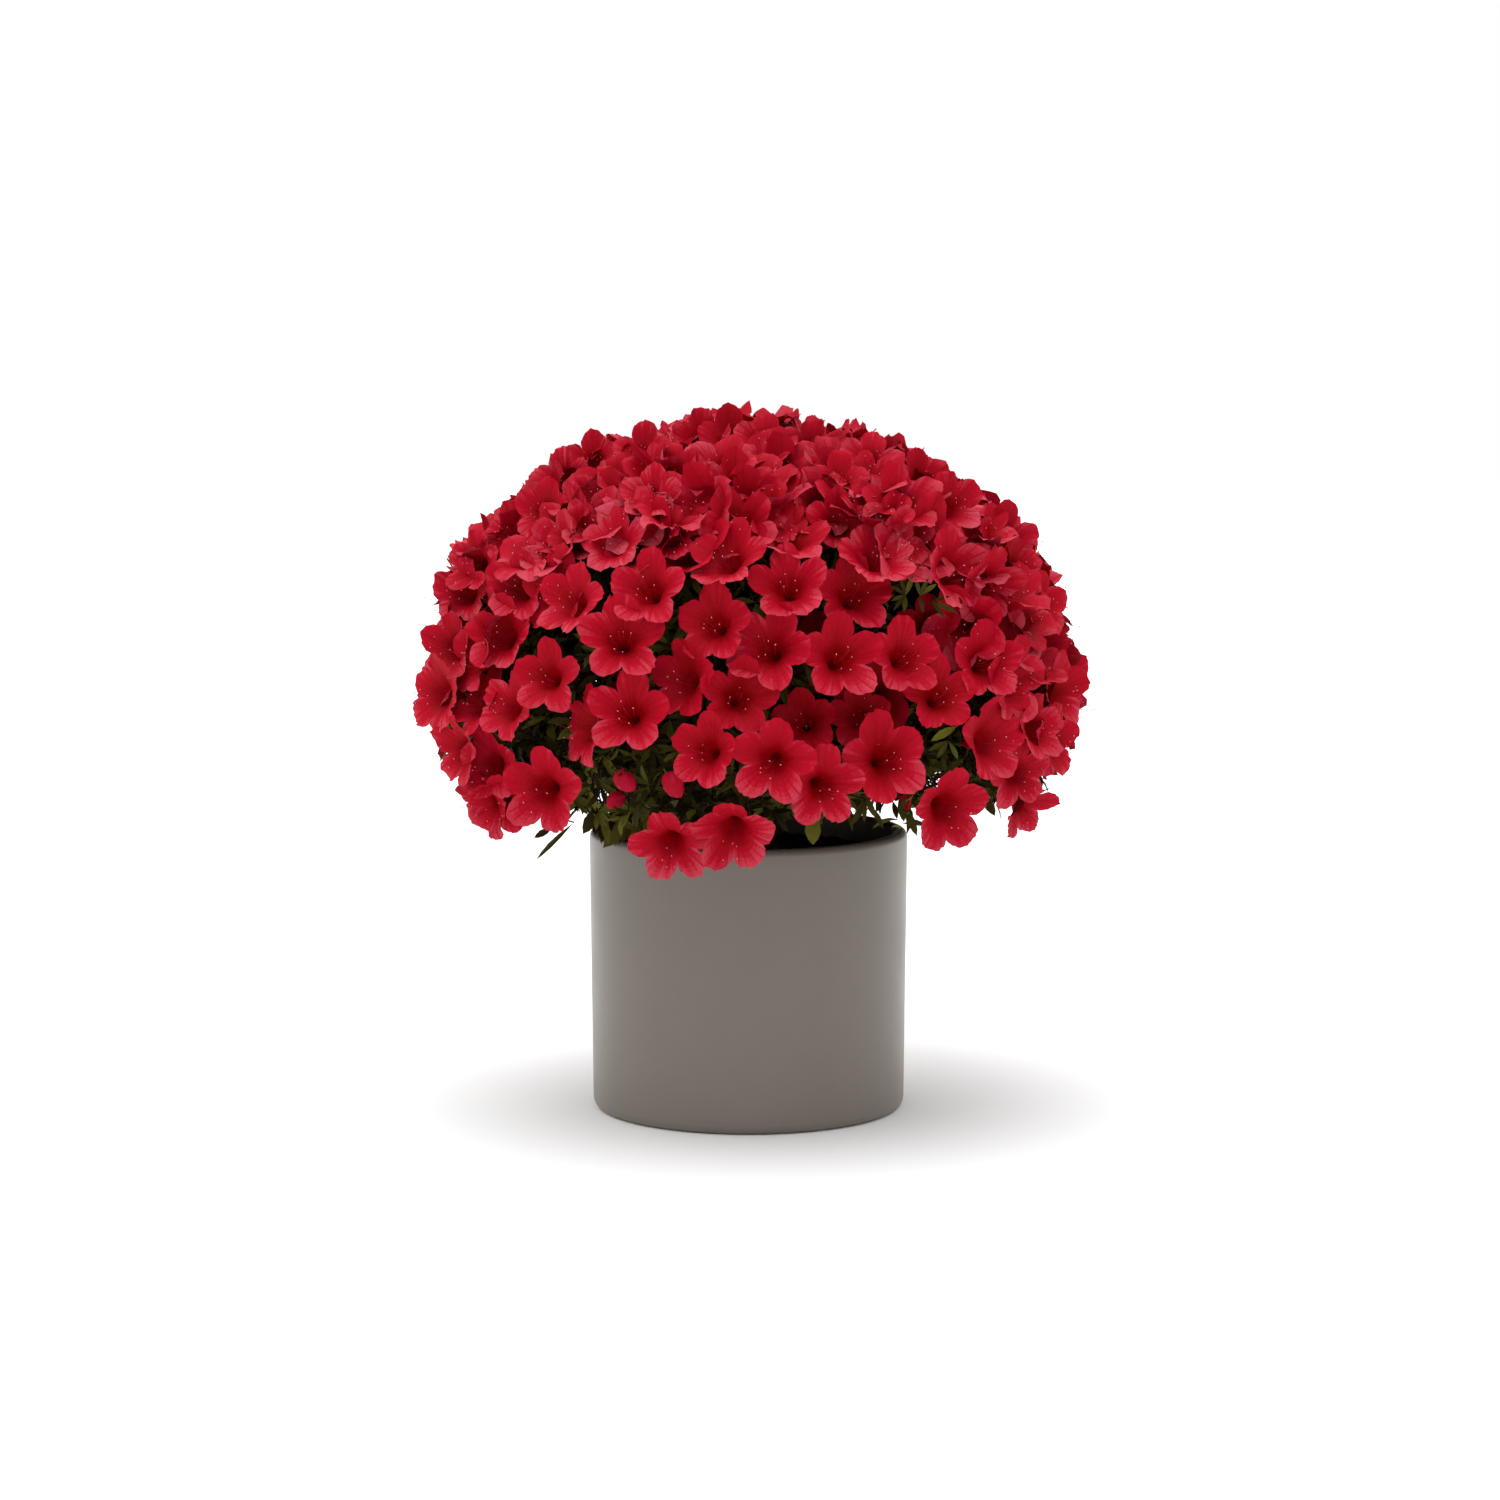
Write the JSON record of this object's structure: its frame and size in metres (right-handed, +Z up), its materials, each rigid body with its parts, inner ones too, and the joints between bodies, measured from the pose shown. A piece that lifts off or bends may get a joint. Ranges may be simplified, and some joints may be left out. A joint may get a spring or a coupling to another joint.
{
  "type": "potted azalea shrub",
  "caption": "Evergreen azalea in full red bloom: a dense low dome of blossom and small leaves on a short stem, standing in a plain straight-sided stoneware pot.",
  "frame": {"origin": "centre of the pot's flat underside", "axes": "+Z up along the pot's axis, -Y towards the side that the picture shows, +X to its right"},
  "size_m": [0.4237, 0.4297, 0.4446],
  "materials": {
    "pot": "matte",
    "compost": "matte",
    "bark": "matte",
    "foliage": "matte"
  },
  "bodies": {
    "root": {"pot": "pot", "compost": "compost", "stem": "bark", "leader": "bark", "upper_bough_1": "bark", "upper_bough_2": "bark", "upper_bough_3": "bark", "upper_bough_4": "bark", "upper_bough_5": "bark", "lower_bough_1": "bark", "lower_bough_2": "bark", "lower_bough_3": "bark", "lower_bough_4": "bark", "lower_bough_5": "bark", "lower_bough_6": "bark", "lower_bough_7": "bark", "crown_top": "foliage", "crown_upper_1": "foliage", "crown_upper_2": "foliage", "crown_upper_3": "foliage", "crown_upper_4": "foliage", "crown_upper_5": "foliage", "crown_lower_1": "foliage", "crown_lower_2": "foliage", "crown_lower_3": "foliage", "crown_lower_4": "foliage", "crown_lower_5": "foliage", "crown_lower_6": "foliage", "crown_lower_7": "foliage"}
  },
  "joints": []
}
